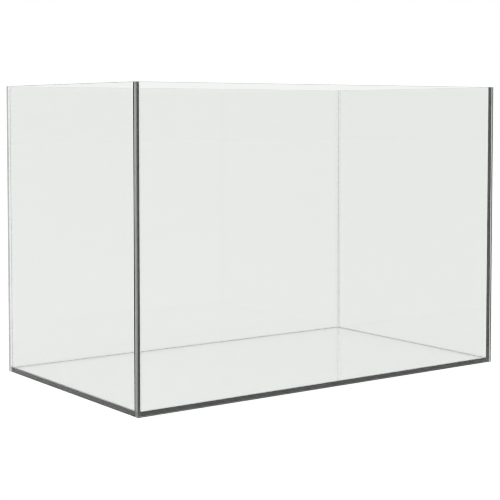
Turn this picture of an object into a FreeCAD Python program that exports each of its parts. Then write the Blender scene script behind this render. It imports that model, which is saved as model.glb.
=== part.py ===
"""Rimless glass aquarium tank: five panes of 6 mm float glass with arrissed edges,
bonded edge to face with clear silicone.

Frame: millimetres, +Z up, +X along the tank's length, the front pane faces -Y.
The origin is the centre of the tank's footprint, on the plane it stands on.

How it is built
  * The front and back panes run the full length and cover the ends of the side panes.
  * The side panes stand between them, one bond gap clear of each.
  * The base pane lies inside the four walls, flush with their lower edges, one bond gap
    clear all round, so the walls run right down to the stand.
  * A structural silicone joint fills every gap, and the groove between two arrises.
  * A separate sealing bead is tooled into each inner corner afterwards: four along the
    base and four upright. These are what is cut out when a tank is resealed.
Nothing on the tank moves.
"""

import FreeCAD, Part
import math
import os

import Sketcher

V = FreeCAD.Vector
doc = FreeCAD.newDocument("rimless_aquarium_tank")

# ---------------------------------------------------------------- driving dimensions
sheet = doc.addObject("Spreadsheet::Sheet", "dims")
CELLS = [
    # alias, value in mm or a formula over the aliases above it, what it is
    ("tank_length", "600", "outside length, along X"),
    ("tank_depth", "350", "outside depth, along Y"),
    ("tank_height", "400", "outside height, along Z"),
    ("glass_thk", "6", "thickness of every pane"),
    ("arris", "0.5", "leg of the ground arris on a pane's edges"),
    ("bond_gap", "1", "silicone between a pane's edge and its neighbour's face"),
    ("bond_dish", "0.3", "how far the silicone is drawn in at the outer groove"),
    ("bond_end", "0.6", "how far an upright joint stops short of the panes' top and foot"),
    ("bead_leg", "2", "leg of an inner sealing bead on each pane"),
    ("bead_dish", "0.55", "how far the bead's tooled face is dished below its chord"),
    ("bead_end", "1", "how far an upright bead stops short of the rim"),
    # and what follows from those
    ("half_length", "=tank_length / 2", "outer face of a side pane from the centre"),
    ("half_height", "=tank_height / 2", "middle of a wall"),
    ("half_glass", "=glass_thk / 2", "middle of the base pane"),
    ("half_inner_x", "=half_length - glass_thk", "inner face of a side pane from the centre"),
    ("half_inner_y", "=tank_depth / 2 - glass_thk", "inner face of the front pane from the centre"),
    ("inner_x", "=2 * half_inner_x", "clear inside length"),
    ("inner_y", "=2 * half_inner_y", "clear inside depth"),
    ("half_base_x", "=half_inner_x - bond_gap", "edge of the base pane from the centre, along X"),
    ("half_side_y", "=half_inner_y - bond_gap", "edge of a side or base pane from the centre, along Y"),
    ("wall_mid_x", "=half_length - half_glass", "middle of a side pane"),
    ("wall_mid_y", "=tank_depth / 2 - half_glass", "middle of the front pane"),
    ("joint_shoulder", "=glass_thk - arris", "where the held pane's inner arris starts"),
    ("joint_lip", "=bond_gap + arris", "width of the joint over the inner arris"),
    ("joint_up", "=tank_height - 2 * bond_end", "length of an upright joint"),
    ("joint_top", "=tank_height - bond_end", "upper end of an upright joint"),
    ("joint_radius", "=bond_gap ^ 2 / (8 * bond_dish) + bond_dish / 2", "radius of the joint's outer face"),
    ("bead_radius", "=bead_leg ^ 2 / (4 * bead_dish) + bead_dish / 2", "radius of the bead's tooled face"),
    ("bead_up", "=tank_height - glass_thk - bead_end", "length of an upright bead"),
    ("bead_foot_x", "=half_inner_x - bead_leg", "foot of a bead from the centre, along X"),
    ("bead_foot_y", "=half_inner_y - bead_leg", "foot of a bead from the centre, along Y"),
]
for row, (alias, value, note) in enumerate(CELLS, start=1):
    sheet.set("A%d" % row, alias)
    sheet.set("B%d" % row, value)
    sheet.set("C%d" % row, note)
    sheet.setAlias("B%d" % row, alias)
    doc.recompute()
SIZE = {alias: float(sheet.get(alias)) for alias, _, _ in CELLS}

parts = []  # the finished sub-parts, in the order they are written


def size(cell):
    """A cell's value in millimetres. A leading minus turns it round, and "0" is nought."""
    if cell == "0":
        return 0.0
    return -SIZE[cell[1:]] if cell.startswith("-") else SIZE[cell]


def bound(cell):
    """The expression that binds a property to a cell."""
    return "-dims." + cell[1:] if cell.startswith("-") else "dims." + cell


def outline(body, name, role, corners, dished=None):
    """A closed outline on one of the body's own origin planes.

    Every corner is held from the plane's origin by distances bound to the sheet.
    corners: [(x cell, y cell), ...] in order round the outline.
    dished: {run: (radius cell, depth cell)}; that run, from its corner to the next, is an
    arc drawn into the section instead of a straight line.
    """
    sketch = body.newObject("Sketcher::SketchObject", name)
    plane = next(f for f in body.Origin.OriginFeatures if f.Role == role)
    sketch.AttachmentSupport = [(plane, "")]
    sketch.MapMode = "FlatFace"
    sketch.Visibility = False
    dished = dished or {}
    n = len(corners)
    at = [V(size(cx), size(cy), 0) for cx, cy in corners]
    area = sum(at[i].x * at[(i + 1) % n].y - at[(i + 1) % n].x * at[i].y for i in range(n))
    inwards = 1 if area > 0 else -1  # the inside is on the left of a run that goes anticlockwise
    start, end = [], []
    for i in range(n):
        a, b = at[i], at[(i + 1) % n]
        if i in dished:
            radius, depth = size(dished[i][0]), size(dished[i][1])
            along = (b - a).normalize()
            into = V(-along.y, along.x, 0) * inwards
            centre = (a + b) * 0.5 + into * (depth - radius)
            # An arc is kept anticlockwise, so it may run from the later corner to this one.
            first, last = (b, a) if inwards > 0 else (a, b)
            from_angle = math.atan2(first.y - centre.y, first.x - centre.x)
            to_angle = math.atan2(last.y - centre.y, last.x - centre.x)
            if to_angle < from_angle:
                to_angle += 2 * math.pi
            circle = Part.Circle(centre, V(0, 0, 1), radius)
            sketch.addGeometry(Part.ArcOfCircle(circle, from_angle, to_angle), False)
            start.append(2 if inwards > 0 else 1)
            end.append(1 if inwards > 0 else 2)
        else:
            sketch.addGeometry(Part.LineSegment(a, b), False)
            start.append(1)
            end.append(2)
    for i in range(n):
        j = (i + 1) % n
        sketch.addConstraint(Sketcher.Constraint("Coincident", i, end[i], j, start[j]))
    held = []
    for i, (cx, cy) in enumerate(corners):
        for kind, cell, axis in (("DistanceX", cx, -2), ("DistanceY", cy, -1)):
            if cell == "0":
                sketch.addConstraint(Sketcher.Constraint("PointOnObject", i, start[i], axis))
                continue
            # A distance reads positive, so one to the left or below is taken backwards.
            ends = (i, start[i], -1, 1) if cell.startswith("-") else (-1, 1, i, start[i])
            number = sketch.addConstraint(Sketcher.Constraint(kind, *ends, abs(size(cell))))
            held.append((number, bound(cell.lstrip("-"))))
    for i in dished:
        number = sketch.addConstraint(Sketcher.Constraint("Radius", i, size(dished[i][0])))
        held.append((number, bound(dished[i][0])))
    for number, expression in held:
        sketch.setExpression("Constraints[%d]" % number, expression)
    return sketch


def pad(body, name, sketch, length, centred):
    feature = body.newObject("PartDesign::Pad", name)
    feature.Profile = sketch
    feature.Midplane = centred
    feature.setExpression("Length", bound(length))
    body.Tip = feature
    doc.recompute()
    return feature


def pocket_through(body, name, sketch):
    """Cuts right through both ways, and makes sure that something came away."""
    before = body.Tip.Shape.Volume
    feature = body.newObject("PartDesign::Pocket", name)
    feature.Profile = sketch
    feature.Type = 1
    feature.Midplane = True
    body.Tip = feature
    doc.recompute()
    if not feature.Shape.Volume < before - 1e-6:
        raise RuntimeError(name + " took nothing away")
    return feature


def place(body, x, y, z, rotation):
    """Puts a sub-part in the tank's frame, each coordinate bound to a cell."""
    body.Placement = FreeCAD.Placement(V(size(x), size(y), size(z)), rotation)
    for axis, cell in (("x", x), ("y", y), ("z", z)):
        if cell != "0":
            body.setExpression("Placement.Base." + axis, bound(cell))
    parts.append(body)


def new_body(label):
    body = doc.addObject("PartDesign::Body", label)
    body.Label = label
    return body


def turned(degrees):
    return FreeCAD.Rotation(V(0, 0, 1), degrees)


# ---------------------------------------------------------------- the five panes
def pane(label, role, half_width, half_tall, x, y, z, square_corners=False):
    """A pane of float glass centred on its own origin, with its edges arrissed.

    square_corners leaves the four short edges through the thickness sharp.
    """
    body = new_body(label)
    w, h = half_width, half_tall
    sketch = outline(body, label + "_outline", role,
                     [("-" + w, "-" + h), (w, "-" + h), (w, h), ("-" + w, h)])
    plate = pad(body, label + "_plate", sketch, "glass_thk", True)
    ground = []
    for number, edge in enumerate(plate.Shape.Edges, start=1):
        through_thickness = abs(edge.Length - SIZE["glass_thk"]) < 1e-6
        if not (square_corners and through_thickness):
            ground.append("Edge%d" % number)
    arris = body.newObject("PartDesign::Chamfer", label + "_arris")
    arris.Base = (plate, ground)
    arris.setExpression("Size", "dims.arris")
    body.Tip = arris
    place(body, x, y, z, turned(0))


pane("front_pane", "XZ_Plane", "half_length", "half_height", "0", "-wall_mid_y", "half_height")
pane("back_pane", "XZ_Plane", "half_length", "half_height", "0", "wall_mid_y", "half_height")
pane("left_pane", "YZ_Plane", "half_side_y", "half_height", "-wall_mid_x", "0", "half_height")
pane("right_pane", "YZ_Plane", "half_side_y", "half_height", "wall_mid_x", "0", "half_height")
pane("base_pane", "XY_Plane", "half_base_x", "half_side_y", "0", "0", "half_glass", square_corners=True)

# ---------------------------------------------------------------- silicone sections
# Both are drawn with the covering pane's inner face on the line x = 0, going away from it
# along +x.
# The joint, from the outer groove (y = arris) up to the inner face of the pane it holds.
JOINT = [("0", "arris"), ("bond_gap", "arris"), ("bond_gap", "joint_shoulder"),
         ("joint_lip", "glass_thk"), ("0", "glass_thk")]
JOINT_FACE = {0: ("joint_radius", "bond_dish")}
# The bead, a dished fillet whose own corner is the inner corner of the glass.
BEAD = [("0", "0"), ("bead_leg", "0"), ("0", "bead_leg")]
BEAD_FACE = {1: ("bead_radius", "bead_dish")}


def run(label, section, face, along, x, y, z, degrees, beaded):
    """A strip of silicone along a bottom corner, mitred to its neighbours at both ends.

    In its own frame the wall's inner face is the plane y = 0, the strip lies on the +y
    side of it and runs along X, centred. along is "x" or "y", the tank's axis it follows.
    """
    body = new_body(label)
    # The YZ plane's sketch axes are the body's Y and Z.
    sketch = outline(body, label + "_section", "YZ_Plane", section, face)
    pad(body, label + "_strip", sketch, "inner_" + along, True)
    tip, foot = "half_inner_" + along, "bead_foot_" + along
    for side, sign in (("near", "-"), ("far", "")):
        # In plan, the corner beyond a line at 45 degrees from the strip's own end.
        wedge = [(sign + tip, "0"), (sign + tip, "bead_leg"), (sign + foot, "bead_leg")]
        name = "%s_%s_mitre" % (label, side)
        pocket_through(body, name, outline(body, name + "_outline", "XY_Plane", wedge))
        if beaded:
            # The upright bead in this corner comes down through the end of this one.
            seat = [(sign + tip, "0"), (sign + foot, "0"), (sign + tip, "bead_leg")]
            name = "%s_%s_seat" % (label, side)
            pocket_through(body, name, outline(body, name + "_outline", "XY_Plane", seat, BEAD_FACE))
    place(body, x, y, z, turned(degrees))


def upright(label, section, face, length, x, y, z, rotation):
    """A strip of silicone standing in a corner: its section in plan, drawn along Z."""
    body = new_body(label)
    sketch = outline(body, label + "_section", "XY_Plane", section, face)
    pad(body, label + "_strip", sketch, length, False)
    place(body, x, y, z, rotation)


# ---------------------------------------------------------------- the joints
# Round the base pane: between each wall and the base pane's edge.
run("front_base_joint", JOINT, JOINT_FACE, "x", "0", "-half_inner_y", "0", 0, False)
run("right_base_joint", JOINT, JOINT_FACE, "y", "half_inner_x", "0", "0", 90, False)
run("back_base_joint", JOINT, JOINT_FACE, "x", "0", "half_inner_y", "0", 180, False)
run("left_base_joint", JOINT, JOINT_FACE, "y", "-half_inner_x", "0", "0", 270, False)


def onto(x_to, y_to):
    """The rotation that carries local X and Y onto two given directions of the tank."""
    x_to, y_to = V(*x_to), V(*y_to)
    return FreeCAD.Rotation(x_to, y_to, x_to.cross(y_to), "XYZ")


# Up the four corners: between the front or back pane and a side pane's edge. Local X goes
# away from the front or back pane, local Y from outside to inside. In two diagonal corners
# that makes local Z point up, and in the other two down, so those are drawn from the top.
upright("front_left_corner_joint", JOINT, JOINT_FACE, "joint_up",
        "-half_length", "-half_inner_y", "joint_top", onto((0, 1, 0), (1, 0, 0)))
upright("front_right_corner_joint", JOINT, JOINT_FACE, "joint_up",
        "half_length", "-half_inner_y", "bond_end", onto((0, 1, 0), (-1, 0, 0)))
upright("back_right_corner_joint", JOINT, JOINT_FACE, "joint_up",
        "half_length", "half_inner_y", "joint_top", onto((0, -1, 0), (-1, 0, 0)))
upright("back_left_corner_joint", JOINT, JOINT_FACE, "joint_up",
        "-half_length", "half_inner_y", "bond_end", onto((0, -1, 0), (1, 0, 0)))

# ---------------------------------------------------------------- the sealing beads
run("front_base_bead", BEAD, BEAD_FACE, "x", "0", "-half_inner_y", "glass_thk", 0, True)
run("right_base_bead", BEAD, BEAD_FACE, "y", "half_inner_x", "0", "glass_thk", 90, True)
run("back_base_bead", BEAD, BEAD_FACE, "x", "0", "half_inner_y", "glass_thk", 180, True)
run("left_base_bead", BEAD, BEAD_FACE, "y", "-half_inner_x", "0", "glass_thk", 270, True)
upright("front_left_corner_bead", BEAD, BEAD_FACE, "bead_up",
        "-half_inner_x", "-half_inner_y", "glass_thk", turned(0))
upright("front_right_corner_bead", BEAD, BEAD_FACE, "bead_up",
        "half_inner_x", "-half_inner_y", "glass_thk", turned(90))
upright("back_right_corner_bead", BEAD, BEAD_FACE, "bead_up",
        "half_inner_x", "half_inner_y", "glass_thk", turned(180))
upright("back_left_corner_bead", BEAD, BEAD_FACE, "bead_up",
        "-half_inner_x", "half_inner_y", "glass_thk", turned(270))

# ---------------------------------------------------------------- check and write
doc.recompute()
for obj in doc.Objects:
    wrong = [s for s in obj.State if s in ("Invalid", "Error")]
    if wrong:
        raise RuntimeError("%s is %s" % (obj.Label, ", ".join(wrong)))
    if obj.TypeId == "Sketcher::SketchObject" and not obj.FullyConstrained:
        raise RuntimeError(obj.Label + " is not fully constrained")
for part in parts:
    shape = part.Shape
    if shape.isNull() or not shape.isValid() or len(shape.Solids) != 1:
        raise RuntimeError("%s has no single valid solid" % part.Label)

# No two sub-parts may share space: neighbours only touch.
for i, a in enumerate(parts):
    for b in parts[i + 1:]:
        if a.Shape.BoundBox.intersect(b.Shape.BoundBox):
            shared = a.Shape.common(b.Shape).Volume
            if shared > 1e-3:
                raise RuntimeError("%s and %s share %.4f mm3" % (a.Label, b.Label, shared))

os.makedirs("parts", exist_ok=True)
for part in parts:
    part.Shape.exportStep(os.path.join("parts", part.Label + ".step"))
    box = part.Shape.BoundBox
    print("%-26s %10.1f mm3   x %8.2f %8.2f   y %8.2f %8.2f   z %7.2f %7.2f" % (
        part.Label, part.Shape.Volume,
        box.XMin, box.XMax, box.YMin, box.YMax, box.ZMin, box.ZMax))
print("sub-parts:", len(parts))
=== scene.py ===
import bpy, bmesh, math
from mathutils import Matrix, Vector, noise


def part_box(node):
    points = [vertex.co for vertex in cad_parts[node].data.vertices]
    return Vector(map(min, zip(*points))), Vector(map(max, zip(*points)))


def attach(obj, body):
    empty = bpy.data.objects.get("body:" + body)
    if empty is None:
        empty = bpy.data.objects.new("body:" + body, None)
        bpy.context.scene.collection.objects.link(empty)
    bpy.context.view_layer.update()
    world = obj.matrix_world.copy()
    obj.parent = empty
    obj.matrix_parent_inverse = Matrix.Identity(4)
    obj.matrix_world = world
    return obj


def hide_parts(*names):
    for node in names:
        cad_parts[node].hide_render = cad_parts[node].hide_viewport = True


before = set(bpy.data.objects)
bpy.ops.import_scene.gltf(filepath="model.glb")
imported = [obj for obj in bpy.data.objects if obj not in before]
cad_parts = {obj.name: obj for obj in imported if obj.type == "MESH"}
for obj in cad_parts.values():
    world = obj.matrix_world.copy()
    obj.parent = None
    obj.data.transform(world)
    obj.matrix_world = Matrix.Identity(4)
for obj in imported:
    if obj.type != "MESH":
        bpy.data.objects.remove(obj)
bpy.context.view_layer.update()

MM = 0.001
GAP = 0.015 * MM          # kept between silicone and glass, so that no two faces lie in one plane
ARRIS = 0.5 * MM          # leg of the ground arris
LEG = 2.0 * MM            # leg of a sealing bead
BEAD_R = 2.0932 * MM      # radius of the bead's dished face
DISH = 0.3 * MM           # how far the joint is drawn in at the outer groove

(FX0, FY0, FZ0), (FX1, FY1, FZ1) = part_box("front_pane")
(BX0, BY0, BZ0), (BX1, BY1, BZ1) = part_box("back_pane")
(LX0, LY0, LZ0), (LX1, LY1, LZ1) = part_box("left_pane")
(RX0, RY0, RZ0), (RX1, RY1, RZ1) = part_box("right_pane")
(PX0, PY0, PZ0), (PX1, PY1, PZ1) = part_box("base_pane")
HALF_X, HALF_Y, TOP = FX1, BY1, FZ1                 # outer half length, half depth and height
IN_X, IN_Y, FLOOR_Z = RX0, BY0, PZ1                 # inner faces of the walls, top of the base
THK = PZ1 - PZ0
JOINT_Z = (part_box("front_left_corner_joint")[0].z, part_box("front_left_corner_joint")[1].z)
BEAD_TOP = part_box("front_left_corner_bead")[1].z


# ------------------------------------------------------------------ mesh helpers
def make_piece(name, node, verts, faces, marks, material):
    """A piece from vertices and faces. marks: {attribute: one value per face}."""
    mesh = bpy.data.meshes.new(name)
    mesh.from_pydata([tuple(v) for v in verts], [], [tuple(f) for f in faces])
    for key, values in marks.items():
        attribute = mesh.attributes.new(key, "FLOAT", "FACE")
        attribute.data.foreach_set("value", [float(v) for v in values])
    mesh.materials.append(material)
    bm = bmesh.new()
    bm.from_mesh(mesh)
    bmesh.ops.recalc_face_normals(bm, faces=bm.faces)
    if bm.calc_volume(signed=True) < 0:
        bmesh.ops.reverse_faces(bm, faces=bm.faces)
    bm.to_mesh(mesh)
    bm.free()
    mesh.update()
    obj = bpy.data.objects.new(name, mesh)
    bpy.context.scene.collection.objects.link(obj)
    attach(obj, "root")
    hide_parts(node)
    return obj


def wetted(p):
    """True where a joint's silicone wets the glass, for a point just off a pane's surface.

    Light passes there as if glass and silicone were one. The two back corners read as
    dry ends, so they are left out, and so are the beads, which are clear all through.
    """
    x, y, z = abs(p[0]), abs(p[1]), p[2]
    shoulder = THK - ARRIS
    if p[1] < 0 and JOINT_Z[0] < z < JOINT_Z[1] and IN_X < x < HALF_X - ARRIS and y < IN_Y:
        if IN_Y - y < 1.0 * MM + max(0.0, HALF_X - x - shoulder):
            return True
    if ARRIS < z < THK:
        lip = 1.0 * MM + max(0.0, z - shoulder)
        if x < IN_X and y < IN_Y and (IN_X - x < lip or IN_Y - y < lip):
            return True
    return False


def bead_centre():
    # The dished face's circle passes through (LEG, 0) and (0, LEG).
    half = LEG / math.sqrt(2)
    return LEG / 2 + math.sqrt(BEAD_R ** 2 - half ** 2) / math.sqrt(2)


def pane(name, lo, hi, wheel, frost_top, frost_end):
    """A plate of glass with its edges arrissed, as one closed mesh.

    The faces are divided where silicone starts and stops. wheel is how coarse the wheel was that ground its edges,
    and also how much painted shade their colour takes; frost_top is how matt it left the upper edge, and frost_end the
    upright one at the tank's left and the one at its right. A matter edge takes less painted shade, so these values
    also set, end by end, how dark it is painted.
    """
    lo, hi = Vector(lo), Vector(hi)
    cuts = []
    for a in range(3):
        stops = {lo[a] + ARRIS, hi[a] - ARRIS}
        marks = {0: [HALF_X - ARRIS, IN_X, IN_X - LEG], 1: [HALF_Y - ARRIS, IN_Y, IN_Y - 1 * MM, IN_Y - LEG]}
        if a == 2:
            near = [ARRIS, JOINT_Z[0], THK, THK + LEG, BEAD_TOP, JOINT_Z[1]]
        else:
            near = [s * m for m in marks[a] for s in (-1, 1)]
        for m in near:
            if lo[a] + ARRIS + 1e-6 < m < hi[a] - ARRIS - 1e-6:
                stops.add(m)
        cuts.append(sorted(stops))
    verts, index = [], {}

    def vertex(p):
        key = tuple(round(c * 1e7) for c in p)
        if key not in index:
            index[key] = len(verts)
            verts.append(Vector(p))
        return index[key]

    faces, ground = [], []

    def face(points, is_ground):
        ids = []
        for p in points:
            i = vertex(p)
            if i not in ids:
                ids.append(i)
        if len(ids) < 3:
            return
        centre = sum((verts[i] for i in ids), Vector()) / len(ids)
        normal = (verts[ids[1]] - verts[ids[0]]).cross(verts[ids[2]] - verts[ids[0]])
        outward = centre - (lo + hi) / 2
        # Faces of a convex plate: turn each one so that its normal points away.
        if normal.dot(Vector([o / max(h - l, 1e-9) for o, h, l in zip(outward, hi, lo)])) < 0:
            ids.reverse()
        faces.append(ids)
        ground.append(is_ground)

    thin = min(range(3), key=lambda a: hi[a] - lo[a])
    for a in range(3):
        b, c = [i for i in range(3) if i != a]
        for side, at in ((0, lo[a]), (1, hi[a])):
            for i in range(len(cuts[b]) - 1):
                for j in range(len(cuts[c]) - 1):
                    quad = []
                    for u, v in ((i, j), (i + 1, j), (i + 1, j + 1), (i, j + 1)):
                        p = [0.0, 0.0, 0.0]
                        p[a], p[b], p[c] = at, cuts[b][u], cuts[c][v]
                        quad.append(p)
                    face(quad, a != thin)
    for a in range(3):                      # the arris along each edge that runs along a
        b, c = [i for i in range(3) if i != a]
        for sb in (0, 1):
            for sc in (0, 1):
                for i in range(len(cuts[a]) - 1):
                    quad = []
                    for at, first in ((cuts[a][i], True), (cuts[a][i + 1], True), (cuts[a][i + 1], False), (cuts[a][i], False)):
                        p = [0.0, 0.0, 0.0]
                        p[a] = at
                        p[b] = (hi[b] if sb else lo[b]) if first else cuts[b][-1 if sb else 0]
                        p[c] = cuts[c][-1 if sc else 0] if first else (hi[c] if sc else lo[c])
                        quad.append(p)
                    face(quad, True)
    for sx in (0, 1):                       # the small three-sided corners
        for sy in (0, 1):
            for sz in (0, 1):
                ends = [cuts[a][-1 if s else 0] for a, s in enumerate((sx, sy, sz))]
                out = [hi[a] if s else lo[a] for a, s in enumerate((sx, sy, sz))]
                face([(out[0], ends[1], ends[2]), (ends[0], out[1], ends[2]), (ends[0], ends[1], out[2])], True)
    bonded = []
    for ids in faces:
        centre = sum((verts[i] for i in ids), Vector()) / len(ids)
        normal = (verts[ids[1]] - verts[ids[0]]).cross(verts[ids[2]] - verts[ids[0]]).normalized()
        bonded.append(1.0 if wetted(centre + normal * 0.04 * MM) else 0.0)
    matt = []
    for ids, g, b in zip(faces, ground, bonded):
        centre = sum((verts[i] for i in ids), Vector()) / len(ids)
        matt.append(0.0 if b or not g or centre.z < ARRIS else frost_top if centre.z > hi.z - ARRIS
                    else frost_end[0] if centre.x < 0 else frost_end[1])
    return make_piece(name + "_glass", name, verts, faces,
                      {"ground": [0.0 if b or not g else wheel for g, b in zip(ground, bonded)],
                       "matt": matt, "bonded": bonded}, GLASS)


# ------------------------------------------------------------------ materials
def new_material(name):
    material = bpy.data.materials.new(name)
    material.use_nodes = True
    nt = material.node_tree
    nt.nodes.clear()
    return material, nt


def maths(nt, operation, a, b=None, c=None, clamp=False):
    n = nt.nodes.new("ShaderNodeMath")
    n.operation = operation
    n.use_clamp = clamp
    for i, v in enumerate((a, b, c)):
        if v is None:
            continue
        if isinstance(v, (int, float)):
            n.inputs[i].default_value = v
        else:
            nt.links.new(v, n.inputs[i])
    return n.outputs[0]


def mix_colour(nt, factor, a, b):
    n = nt.nodes.new("ShaderNodeMix")
    n.data_type = "RGBA"
    if isinstance(factor, (int, float)):
        n.inputs[0].default_value = factor
    else:
        nt.links.new(factor, n.inputs[0])
    for socket, v in ((n.inputs[6], a), (n.inputs[7], b)):
        if isinstance(v, tuple):
            socket.default_value = v
        else:
            nt.links.new(v, socket)
    return n.outputs[2]


def noise_of(nt, vector, scale, detail=2.0, roughness=0.5):
    n = nt.nodes.new("ShaderNodeTexNoise")
    nt.links.new(vector, n.inputs["Vector"])
    n.inputs["Scale"].default_value = scale
    n.inputs["Detail"].default_value = detail
    n.inputs["Roughness"].default_value = roughness
    return n.outputs["Fac"]


def stretched(nt, vector, scale):
    n = nt.nodes.new("ShaderNodeVectorMath")
    n.operation = "MULTIPLY"
    nt.links.new(vector, n.inputs[0])
    n.inputs[1].default_value = scale
    return n.outputs[0]


def mark(nt, name):
    n = nt.nodes.new("ShaderNodeAttribute")
    n.attribute_name = name
    return n.outputs["Fac"]


def glass_material():
    """Float glass: clear faces with the faintest film and ripple, ground edges with painted shade in their colour,
    and a grey-green body that shows only along a pane's length."""
    material, nt = new_material("float_glass")
    out = nt.nodes.new("ShaderNodeOutputMaterial")
    p = nt.nodes.new("ShaderNodeBsdfPrincipled")
    co = nt.nodes.new("ShaderNodeTexCoord").outputs["Object"]
    ground, bonded = mark(nt, "ground"), mark(nt, "bonded")
    free = maths(nt, "SUBTRACT", 1.0, bonded)
    # a film of wiped-off dust: soft patches a few centimetres wide
    film = maths(nt, "MULTIPLY", maths(nt, "SUBTRACT", noise_of(nt, co, 14.0, 3.0), 0.45, clamp=True), 0.02)
    # the wheel's marks on a ground edge: fine lines along it, uneven from place to place
    lines = noise_of(nt, stretched(nt, co, (60.0, 60.0, 1500.0)), 1.0, 3.0, 0.6)
    lines_flat = noise_of(nt, stretched(nt, co, (1500.0, 1500.0, 60.0)), 1.0, 3.0, 0.6)
    grain = maths(nt, "MULTIPLY", maths(nt, "ADD", lines, lines_flat), 0.5)
    wheel = maths(nt, "ADD", maths(nt, "MULTIPLY", grain, 0.35), 0.12)
    rough = maths(nt, "ADD", maths(nt, "MULTIPLY", ground, wheel), film)
    nt.links.new(maths(nt, "MULTIPLY", rough, free, clamp=True), p.inputs["Roughness"])
    # painted shade: ground glass that is not matt gets a darker grey-green base colour, flecked by the wheel's lines,
    # so it reads darker than the faces, standing in for the dark of light trapped in the edge
    matt = mark(nt, "matt")
    painted_edge_shade = maths(nt, "MULTIPLY", ground, maths(nt, "SUBTRACT", 1.0, maths(nt, "MULTIPLY", matt, 2.0)), clamp=True)
    body = mix_colour(nt, grain, (0.46, 0.50, 0.48, 1), (0.70, 0.74, 0.72, 1))
    nt.links.new(mix_colour(nt, painted_edge_shade, (0.995, 0.999, 0.997, 1), body), p.inputs["Base Color"])
    nt.links.new(maths(nt, "SUBTRACT", 1.0, matt), p.inputs["Transmission Weight"])
    p.inputs["IOR"].default_value = 1.5
    nt.links.new(maths(nt, "SUBTRACT", 1.5, maths(nt, "MULTIPLY", bonded, 0.5)), p.inputs["IOR"])
    ripple = noise_of(nt, co, 9.0, 1.0)
    height = maths(nt, "ADD", maths(nt, "MULTIPLY", maths(nt, "MULTIPLY", grain, ground), 1.0),
                   maths(nt, "MULTIPLY", ripple, 0.02))
    bump = nt.nodes.new("ShaderNodeBump")
    bump.inputs["Strength"].default_value = 0.15
    bump.inputs["Distance"].default_value = 0.00015
    nt.links.new(height, bump.inputs["Height"])
    nt.links.new(bump.outputs[0], p.inputs["Normal"])
    volume = nt.nodes.new("ShaderNodeVolumeAbsorption")
    volume.inputs["Color"].default_value = (0.834, 0.846, 0.831, 1)
    volume.inputs["Density"].default_value = 100.0
    nt.links.new(p.outputs[0], out.inputs["Surface"])
    nt.links.new(volume.outputs[0], out.inputs["Volume"])
    return material


def silicone_material(name, clear, haze, rough, tint, ior, smoke, per_metre):
    """Clear silicone: a rubber that passes light with a little milkiness, smooth where it
    was tooled and uneven at the scale of a fingertip."""
    material, nt = new_material(name)
    out = nt.nodes.new("ShaderNodeOutputMaterial")
    p = nt.nodes.new("ShaderNodeBsdfPrincipled")
    co = nt.nodes.new("ShaderNodeTexCoord").outputs["Object"]
    bonded = mark(nt, "bonded")
    free = maths(nt, "SUBTRACT", 1.0, bonded)
    patches = noise_of(nt, co, 90.0, 3.0)
    nt.links.new(mix_colour(nt, patches, clear, haze), p.inputs["Base Color"])
    skin = maths(nt, "ADD", maths(nt, "MULTIPLY", noise_of(nt, co, 350.0, 2.0), rough), rough * 0.5)
    nt.links.new(maths(nt, "MULTIPLY", skin, free, clamp=True), p.inputs["Roughness"])
    p.inputs["Transmission Weight"].default_value = tint
    p.inputs["IOR"].default_value = ior
    if name.startswith("joint"):
        nt.links.new(maths(nt, "SUBTRACT", ior, maths(nt, "MULTIPLY", bonded, ior - 1.0)), p.inputs["IOR"])
    bump = nt.nodes.new("ShaderNodeBump")
    bump.inputs["Strength"].default_value = 0.3
    bump.inputs["Distance"].default_value = 0.0002
    nt.links.new(maths(nt, "MULTIPLY", noise_of(nt, co, 220.0, 2.0), free), bump.inputs["Height"])
    nt.links.new(bump.outputs[0], p.inputs["Normal"])
    volume = nt.nodes.new("ShaderNodeVolumeAbsorption")
    volume.inputs["Color"].default_value = smoke
    volume.inputs["Density"].default_value = per_metre
    nt.links.new(p.outputs[0], out.inputs["Surface"])
    nt.links.new(volume.outputs[0], out.inputs["Volume"])
    return material


GLASS = glass_material()
# painted shade: the joint silicone on the base and the front corners takes a grey smoke about eight times denser than
# the clear back-corner copy, so it reads dark where light is trapped at the joints
JOINT_PAINTED_SHADE = silicone_material("joint_silicone", (0.90, 0.92, 0.91, 1), (0.97, 0.98, 0.975, 1), 0.25, 0.90, 1.5, (0.40, 0.42, 0.41, 1), 1000.0)
BACK_JOINT = silicone_material("joint_silicone_clear", (0.90, 0.92, 0.91, 1), (0.97, 0.98, 0.975, 1), 0.25, 0.90, 1.5, (0.40, 0.42, 0.41, 1), 120.0)
BEAD = silicone_material("bead_silicone", (0.92, 0.94, 0.93, 1), (0.98, 0.985, 0.98, 1), 0.16, 0.97, 1.06, (0.86, 0.87, 0.86, 1), 100.0)

# ------------------------------------------------------------------ the panes
# wheel and frost values set each pane's edge roughness and mattness and also its painted shade: the front pane's left
# end is painted darker than its right end
pane("front_pane", (FX0, FY0, FZ0), (FX1, FY1, FZ1), 1.2, 0.25, (0.17, 0.46))
pane("back_pane", (BX0, BY0, BZ0), (BX1, BY1, BZ1), 1.0, 0.45, (0.43, 0.46))
pane("left_pane", (LX0, LY0, LZ0), (LX1, LY1, LZ1), 0.3, 0.45, (0.0, 0.0))
pane("right_pane", (RX0, RY0, RZ0), (RX1, RY1, RZ1), 0.3, 0.45, (0.0, 0.0))
pane("base_pane", (PX0, PY0, PZ0), (PX1, PY1, PZ1), 0.5, 0.0, (0.0, 0.0))


# ------------------------------------------------------------------ the silicone
def wander(seed, s, pitch):
    """Smooth unevenness along a run, about -1 to 1, the same each time."""
    return noise.noise(Vector((s / pitch, seed * 17.3, 4.1)))


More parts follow.
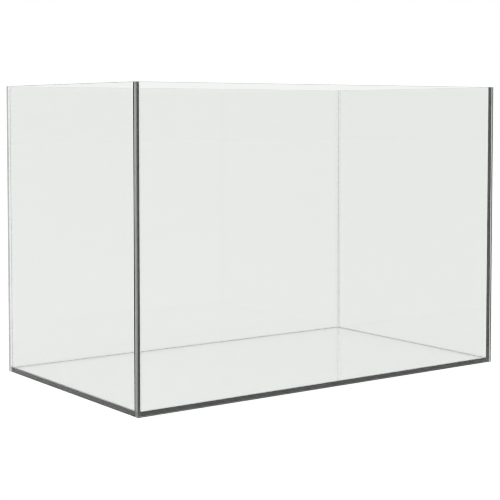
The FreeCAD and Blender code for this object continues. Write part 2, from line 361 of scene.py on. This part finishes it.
def strip(name, node_name, material, stations, section, bonded_runs, bonded_ends, where):
    """A closed strip: section(s) gives its outline at station s as (u, v) points, and
    where(s, u, v) puts a point in the tank's frame."""
    verts, faces, marks = [], [], []
    rings = []
    for s in stations:
        ring = []
        for u, v in section(s):
            ring.append(len(verts))
            verts.append(where(s, u, v))
        rings.append(ring)
    n = len(rings[0])
    for a, b in zip(rings, rings[1:]):
        for i in range(n):
            j = (i + 1) % n
            faces.append([a[i], a[j], b[j], b[i]])
            marks.append(1.0 if bonded_runs[i] else 0.0)
    for ring, bond in ((rings[0], bonded_ends[0]), (rings[-1], bonded_ends[1])):
        # a fan from the section's own corner, which is the last point of its outline
        for i in range(n - 2):
            faces.append([ring[n - 1], ring[i], ring[i + 1]])
            marks.append(1.0 if bond else 0.0)
    # outward normals: the ring turns one way and the two ends face apart
    centre = sum((verts[i] for i in rings[0]), Vector()) / n
    step = sum((verts[i] for i in rings[1]), Vector()) / n - centre
    first = faces[0]
    normal = (verts[first[1]] - verts[first[0]]).cross(verts[first[3]] - verts[first[0]])
    middle = (verts[first[0]] + verts[first[1]]) / 2
    ring_centre = sum((verts[i] for i in rings[0]), Vector()) / n
    if normal.dot(middle - ring_centre) < 0:
        for k in range(len(faces) - 2 * (n - 2)):
            faces[k].reverse()
    for k in range(len(faces) - 2 * (n - 2), len(faces)):
        f = faces[k]
        normal = (verts[f[1]] - verts[f[0]]).cross(verts[f[2]] - verts[f[0]])
        at_start = k < len(faces) - (n - 2)
        if normal.dot(step) * (-1 if at_start else 1) < 0:
            f.reverse()
    return make_piece(name, node_name, verts, faces, {"bonded": marks}, material)


def joint_section(seed):
    def section(s):
        g = GAP
        dish = DISH * (1.0 + 0.35 * wander(seed, s, 23 * MM))
        low = ARRIS + 0.1 * MM * wander(seed + 5, s, 31 * MM)
        wide = 1.0 * MM
        arc = []
        for k in range(7):
            t = k / 6
            arc.append((g + (wide - 2 * g) * t, low + 0.12 * MM + (dish) * math.sin(math.pi * t)))
        return arc + [(wide - g, THK - ARRIS), (wide + ARRIS - 2 * g, THK - g), (g, THK - g)]
    return section


JOINT_RUNS = [False] * 6 + [True, True, True, True]


def bead_profile(leg, n=8):
    """Points along the dished face from (leg, 0) to (0, leg)."""
    scale = leg / LEG
    c, r = bead_centre() * scale, BEAD_R * scale
    a0 = math.atan2(0 - c, leg - c)
    a1 = math.atan2(leg - c, 0 - c)
    if a1 > a0:
        a1 -= 2 * math.pi
    return [(c + r * math.cos(a0 + (a1 - a0) * k / n), c + r * math.sin(a0 + (a1 - a0) * k / n)) for k in range(n + 1)]


def bead_height(a):
    """Height of the bead's dished face above one pane, a away from the other."""
    if a >= LEG:
        return 0.0
    c = bead_centre()
    return max(0.0, c - math.sqrt(max(BEAD_R ** 2 - (c - a) ** 2, 0.0)))


def bead_section(seed):
    def section(s):
        leg = LEG - 0.1 * MM * (1 + wander(seed, s, 19 * MM)) - 0.06 * MM * (1 + wander(seed + 3, s, 60 * MM))
        pts = []
        for u, v in bead_profile(leg):
            pts.append((max(u, GAP), max(v, GAP)))
        return pts + [(GAP, GAP)]
    return section


BEAD_RUNS = [False] * 10


def stations(length, pitch):
    n = max(2, round(length / pitch))
    return [-length / 2 + length * k / n for k in range(n + 1)]


# Round the base: each run is (name, wall's inner face, direction along, direction inwards)
BASE_RUNS = [
    ("front", Vector((0, -IN_Y, 0)), Vector((1, 0, 0)), Vector((0, 1, 0)), 2 * IN_X),
    ("right", Vector((IN_X, 0, 0)), Vector((0, 1, 0)), Vector((-1, 0, 0)), 2 * IN_Y),
    ("back", Vector((0, IN_Y, 0)), Vector((-1, 0, 0)), Vector((0, -1, 0)), 2 * IN_X),
    ("left", Vector((-IN_X, 0, 0)), Vector((0, -1, 0)), Vector((1, 0, 0)), 2 * IN_Y),
]
for seed, (side, origin, along, inward, length) in enumerate(BASE_RUNS):
    def mitred(s, u, v, origin=origin, along=along, inward=inward, length=length, up=0.0):
        # the strip's ends lie in the 45 degree planes it shares with its neighbours
        reach = 1 - 2 * (u + GAP) / length
        return origin + along * (s * reach) + inward * u + Vector((0, 0, v + up))

    strip(side + "_base_joint_silicone", side + "_base_joint", JOINT_PAINTED_SHADE,
          stations(length, 6 * MM), joint_section(seed), JOINT_RUNS, (True, True), mitred)

    def bead_at(s, u, v, mitred=mitred):
        return mitred(s, u, v, up=FLOOR_Z)

    strip(side + "_base_bead_silicone", side + "_base_bead", BEAD,
          stations(length, 4 * MM), bead_section(seed + 10), BEAD_RUNS, (False, False), bead_at)

# Up the corners
for seed, (name, sx, sy) in enumerate((("front_left", -1, -1), ("front_right", 1, -1), ("back_right", 1, 1), ("back_left", -1, 1))):
    z0, z1 = JOINT_Z

    def joint_up(s, u, v, sx=sx, sy=sy):
        return Vector((sx * (HALF_X - v), sy * (IN_Y - u), (z0 + z1) / 2 + s))

    # the front corners take the joint silicone darkened with painted shade, the back corners the clear one
    strip(name + "_corner_joint_silicone", name + "_corner_joint", JOINT_PAINTED_SHADE if sy < 0 else BACK_JOINT,
          stations(z1 - z0, 6 * MM), joint_section(seed + 20),
          JOINT_RUNS if sy < 0 else [True] * 10, (False, False), joint_up)

    span = BEAD_TOP - FLOOR_Z
    first = -span / 2

    def bead_up(s, u, v, sx=sx, sy=sy, first=first):
        z = FLOOR_Z + span / 2 + s
        if s == first:  # its foot sits on the two beads that meet in this corner
            z = FLOOR_Z + max(bead_height(u), bead_height(v)) + GAP
        return Vector((sx * (IN_X - u), sy * (IN_Y - v), z))

    rows = [-span / 2, -span / 2 + 4 * MM] + [s for s in stations(span, 4 * MM) if s > -span / 2 + 4.5 * MM]
    strip(name + "_corner_bead_silicone", name + "_corner_bead", BEAD,
          rows, bead_section(seed + 30), BEAD_RUNS, (False, False), bead_up)

# ------------------------------------------------------------------ studio
def stage_floor():
    """A light table: it glows evenly and takes hardly any shadow; under the tank it glows a little more, painted light
    that lifts the shade beneath the glass.
    """
    mesh = bpy.data.meshes.new("studio_floor")
    r = 12.0
    mesh.from_pydata([(-r, -r, -0.0004), (r, -r, -0.0004), (r, r, -0.0004), (-r, r, -0.0004)], [], [(0, 1, 2, 3)])
    material, nt = new_material("studio_floor")
    out = nt.nodes.new("ShaderNodeOutputMaterial")
    p = nt.nodes.new("ShaderNodeBsdfPrincipled")
    p.inputs["Base Color"].default_value = (0.04, 0.04, 0.04, 1)
    p.inputs["Roughness"].default_value = 1.0
    p.inputs["Specular IOR Level"].default_value = 0.0
    p.inputs["Emission Color"].default_value = (1, 1, 1, 1)
    co = nt.nodes.new("ShaderNodeTexCoord").outputs["Object"]
    apart = nt.nodes.new("ShaderNodeSeparateXYZ")
    nt.links.new(co, apart.inputs[0])
    painted_glow_footprint = None
    for axis, half in ((0, PX1), (1, PY1)):
        edge = maths(nt, "DIVIDE", maths(nt, "SUBTRACT", half, maths(nt, "ABSOLUTE", apart.outputs[axis])), 0.012, clamp=True)
        painted_glow_footprint = edge if painted_glow_footprint is None else maths(nt, "MULTIPLY", painted_glow_footprint, edge)
    # painted light: across the base pane's footprint, fading in over 12 mm at its edge, the floor glows brighter by
    # the extra under-tank amount
    nt.links.new(maths(nt, "ADD", maths(nt, "MULTIPLY", painted_glow_footprint, PAINTED_GLOW_UNDER_TANK), 0.965), p.inputs["Emission Strength"])
    nt.links.new(p.outputs[0], out.inputs["Surface"])
    mesh.materials.append(material)
    obj = bpy.data.objects.new("studio_floor", mesh)
    bpy.context.scene.collection.objects.link(obj)


# extra glow of painted light on the floor under the tank
PAINTED_GLOW_UNDER_TANK = 0.155
stage_floor()
world = bpy.data.worlds.new("studio")
bpy.context.scene.world = world
world.use_nodes = True
background = world.node_tree.nodes["Background"]
background.inputs["Color"].default_value = (1, 1, 1, 1)
background.inputs["Strength"].default_value = 1.0

lamp = bpy.data.lights.new("overhead_softbox", "AREA")
lamp.shape = "RECTANGLE"
lamp.size, lamp.size_y = 2.4, 2.0
lamp.energy = 20.0
lamp_object = bpy.data.objects.new("overhead_softbox", lamp)
lamp_object.location = (-0.4, -0.3, 2.4)
bpy.context.scene.collection.objects.link(lamp_object)

camera = bpy.data.cameras.new("camera")
camera.sensor_width = 36.0
camera.lens = 1299.26 * 36.0 / 500.0
camera.shift_x = 0.0
camera.shift_y = -0.14
camera.clip_start, camera.clip_end = 0.05, 60.0
camera_object = bpy.data.objects.new("camera", camera)
camera_object.location = (-1.09058, -1.49091, 0.36346)
yaw, pitch = 0.62807, 0.05196
camera_object.rotation_euler = (math.pi / 2 - pitch, 0.0, -yaw)
bpy.context.scene.collection.objects.link(camera_object)
bpy.context.scene.camera = camera_object
bpy.context.scene.view_settings.view_transform = "Standard"
bpy.context.scene.view_settings.look = "None"
bpy.context.scene.cycles.filter_width = 1.0
